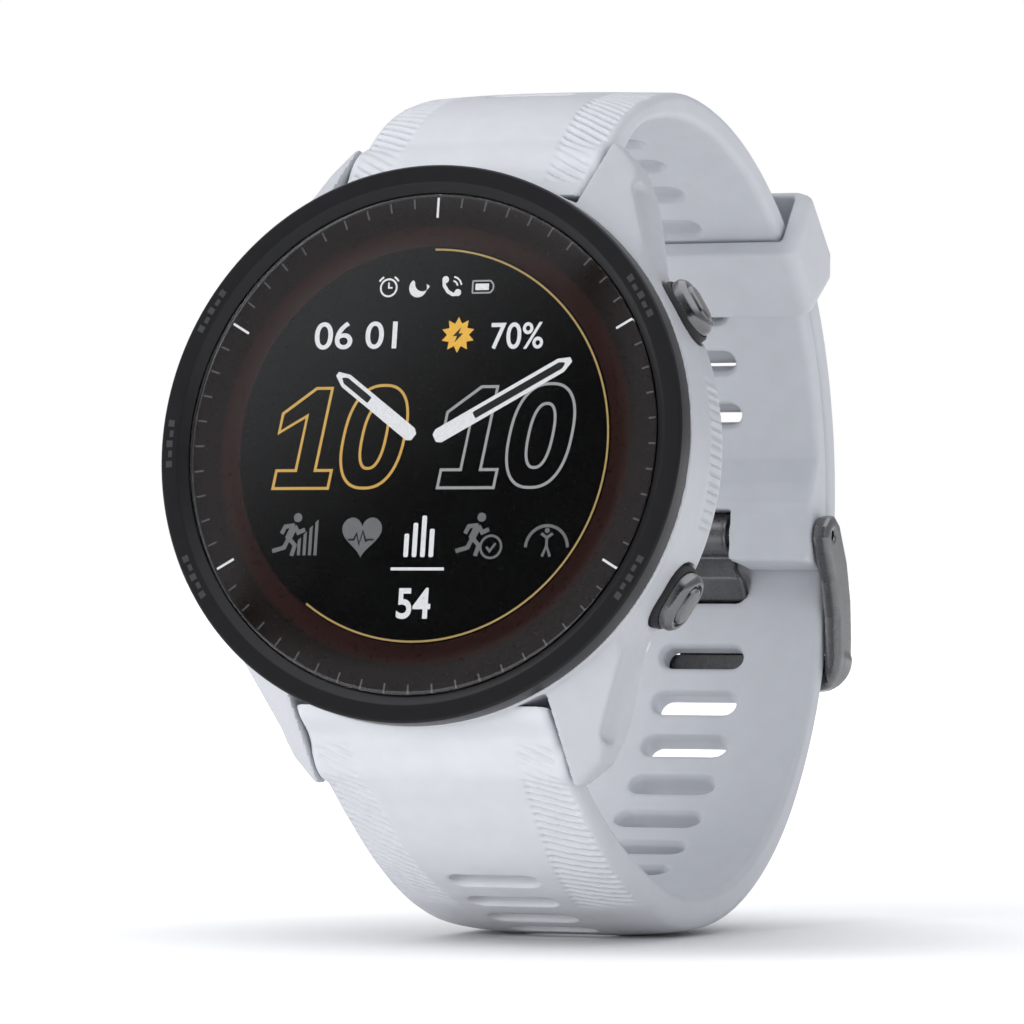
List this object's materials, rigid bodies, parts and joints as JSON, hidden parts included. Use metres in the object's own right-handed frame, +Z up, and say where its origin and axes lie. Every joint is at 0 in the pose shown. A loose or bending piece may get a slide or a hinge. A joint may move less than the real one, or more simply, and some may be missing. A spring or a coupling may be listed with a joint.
{
  "type": "gps running watch",
  "caption": "Round sports watch standing on its buckled silicone strap, with sprung side buttons, glass over a solar ring and display, optical sensor, sliding keeper and hinged buckle",
  "frame": {"origin": "middle of the footprint, on the surface that the strap stands on", "axes": "+Z up; +X towards 3 o'clock across the dial; the dial faces -Y and leans back 9 degrees, so 12 o'clock is up"},
  "size_m": [0.0481, 0.0738, 0.0727],
  "materials": {
    "bezel_polymer": "satin moulded fibre-reinforced polymer, black",
    "cover_glass": "polished flat glass with a dark inner border",
    "solar_film": "red-brown light-harvesting film under the glass",
    "display_panel": null,
    "case_polymer": "fine satin moulded polymer, cool off-white",
    "back_polymer": "smooth satin moulded polymer, off-white",
    "dark_polymer": "dark moulded polymer",
    "strap_silicone": "soft matt silicone with a fine moulded texture, cool off-white",
    "button_metal": "gunmetal plated steel, turned and polished cap",
    "buckle_metal": "gunmetal plated steel, fine brushed",
    "small_steel": "plain turned stainless steel",
    "bright_steel": "drawn tinned steel can",
    "gilt_metal": "gold plated contact metal",
    "seal_rubber": "black seal rubber",
    "circuit_board": "green solder mask over laminate",
    "battery_foil": "grey laminated foil pouch",
    "sensor_window": "dark optical window, polished"
  },
  "bodies": {
    "root": {"bezel": "bezel_polymer", "bezel_gasket": "seal_rubber", "cover_glass": "cover_glass", "solar_ring": "solar_film", "display_panel": "display_panel", "display_frame": "dark_polymer", "antenna_ring": "gilt_metal", "mid_case": "case_polymer", "main_board": "circuit_board", "board_shields": "bright_steel", "battery": "battery_foil", "vibration_motor": "bright_steel", "buzzer": "gilt_metal", "pressure_vent": "dark_polymer", "button_switches": "dark_polymer", "button_bushes": "small_steel", "button_seals": "seal_rubber", "back_gasket": "seal_rubber", "back_cover": "back_polymer", "back_screws": "small_steel", "sensor_board": "circuit_board", "sensor_window": "sensor_window", "charge_socket": "dark_polymer", "charge_pins": "gilt_metal", "upper_lug_bar": "small_steel", "lower_lug_bar": "small_steel", "bar_levers": "small_steel", "short_strap": "strap_silicone", "long_strap": "strap_silicone", "buckle_bar": "small_steel"},
    "start_button_body": {"start_button": "button_metal", "start_clip": "small_steel"},
    "lap_button_body": {"lap_button": "button_metal", "lap_clip": "small_steel"},
    "down_button_body": {"down_button": "button_metal", "down_clip": "small_steel"},
    "up_button_body": {"up_button": "button_metal", "up_clip": "small_steel"},
    "light_button_body": {"light_button": "button_metal", "light_clip": "small_steel"},
    "keeper_body": {"keeper": "strap_silicone"},
    "frame_body": {"buckle_frame": "buckle_metal"},
    "tongue_body": {"buckle_tongue": "buckle_metal"}
  },
  "joints": [
    {"name": "start_press", "type": "slide", "parent": "root", "child": "start_button_body", "axis": [-0.8462, -0.0834, -0.5263], "range_m": [0, 0.0006], "stiffness_N_per_m": 3000, "springref_m": -0.0001},
    {"name": "lap_press", "type": "slide", "parent": "root", "child": "lap_button_body", "axis": [-0.866, 0.0782, 0.4938], "range_m": [0, 0.0006], "stiffness_N_per_m": 3000, "springref_m": -0.0001},
    {"name": "down_press", "type": "slide", "parent": "root", "child": "down_button_body", "axis": [0.866, 0.0782, 0.4938], "range_m": [0, 0.0006], "stiffness_N_per_m": 3000, "springref_m": -0.0001},
    {"name": "up_press", "type": "slide", "parent": "root", "child": "up_button_body", "axis": [1, 0, 0], "range_m": [0, 0.0006], "stiffness_N_per_m": 3000, "springref_m": -0.0001},
    {"name": "light_press", "type": "slide", "parent": "root", "child": "light_button_body", "axis": [0.866, -0.0782, -0.4938], "range_m": [0, 0.0006], "stiffness_N_per_m": 3000, "springref_m": -0.0001},
    {"name": "keeper_slide", "type": "hinge", "parent": "root", "child": "keeper_body", "pos_m": [0.00072, 0.00211, 0.03866], "axis": [1, 0, 0], "range_deg": [-24, 2]},
    {"name": "buckle_swing", "type": "hinge", "parent": "root", "child": "frame_body", "pos_m": [0.00072, 0.03135, 0.03474], "axis": [1, 0, 0], "range_deg": [0, 4]},
    {"name": "tongue_swing", "type": "hinge", "parent": "frame_body", "child": "tongue_body", "pos_m": [0.00072, 0.03135, 0.03474], "axis": [1, 0, 0], "range_deg": [0, 3]}
  ]
}
